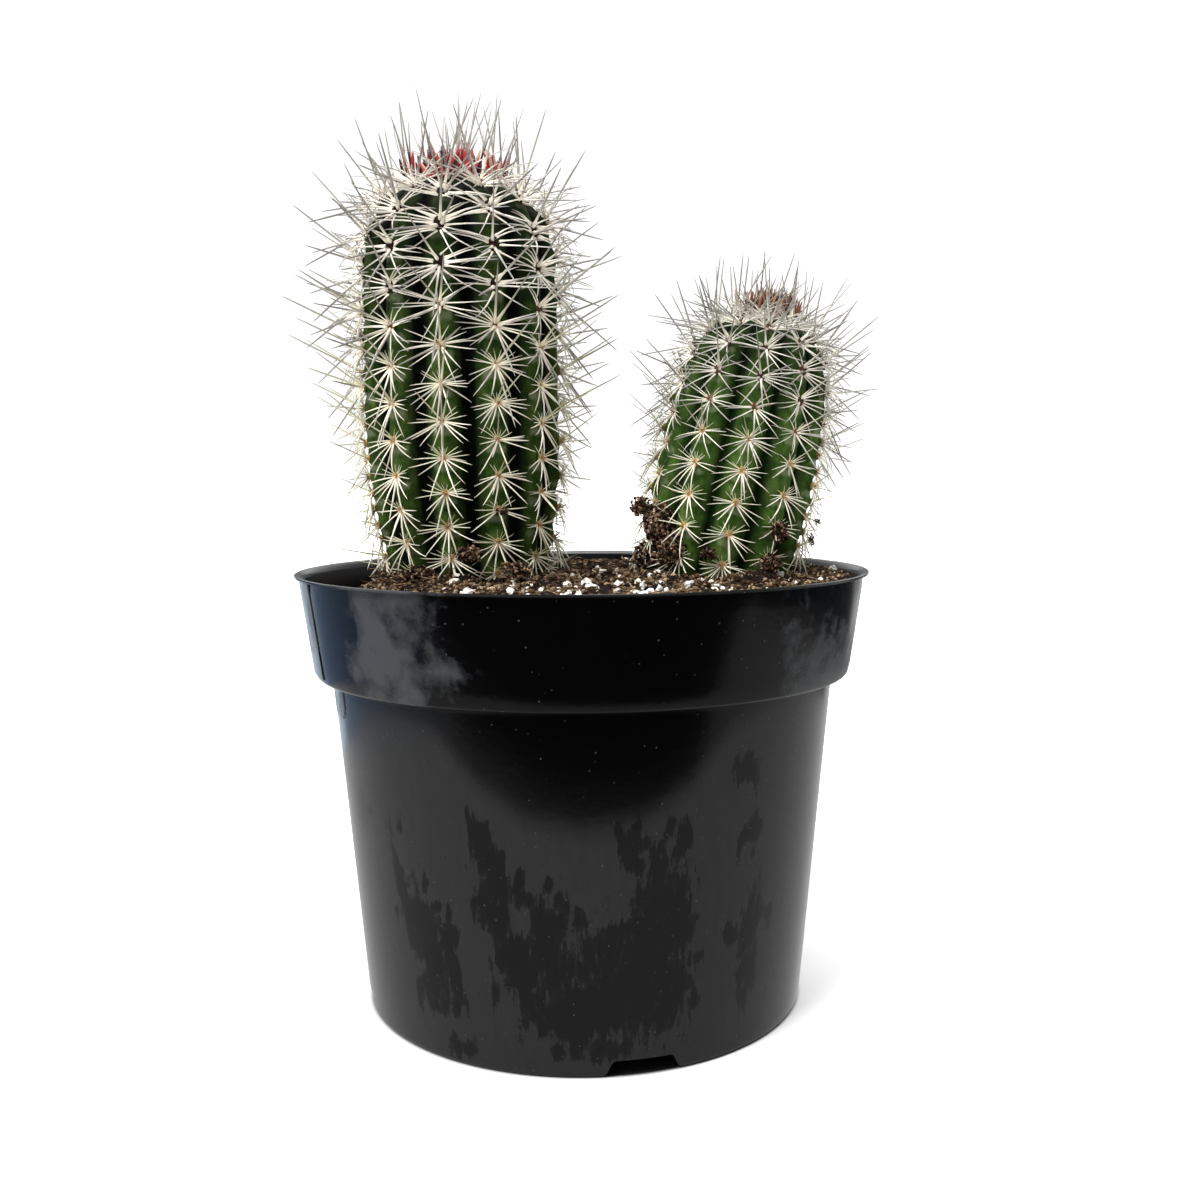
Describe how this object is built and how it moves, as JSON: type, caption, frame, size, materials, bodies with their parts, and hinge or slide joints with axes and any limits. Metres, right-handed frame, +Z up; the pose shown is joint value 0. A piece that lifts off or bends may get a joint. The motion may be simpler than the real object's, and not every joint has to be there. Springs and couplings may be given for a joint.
{
  "type": "potted cactus",
  "caption": "Two ribbed, spiny column cacti, a tall one and a short leaning one, in potting mix in a round black nursery pot.",
  "frame": {"origin": "on the pot's axis, at the level of the foot it stands on", "axes": "+Z up, -Y to the front that the picture shows, +X to the right, where the short plant stands"},
  "size_m": [0.1699, 0.16, 0.2555],
  "materials": {
    "pot": "satin black moulded plastic with dried water marks",
    "potting_mix": "brown peat and bark crumbs with white perlite",
    "tall_cactus": "waxy mid-green skin with ivory and grey spines",
    "short_cactus": "waxy green skin with ivory and grey spines"
  },
  "bodies": {
    "root": {"pot": "pot", "potting_mix": "potting_mix", "tall_cactus": "tall_cactus", "short_cactus": "short_cactus"}
  },
  "joints": []
}
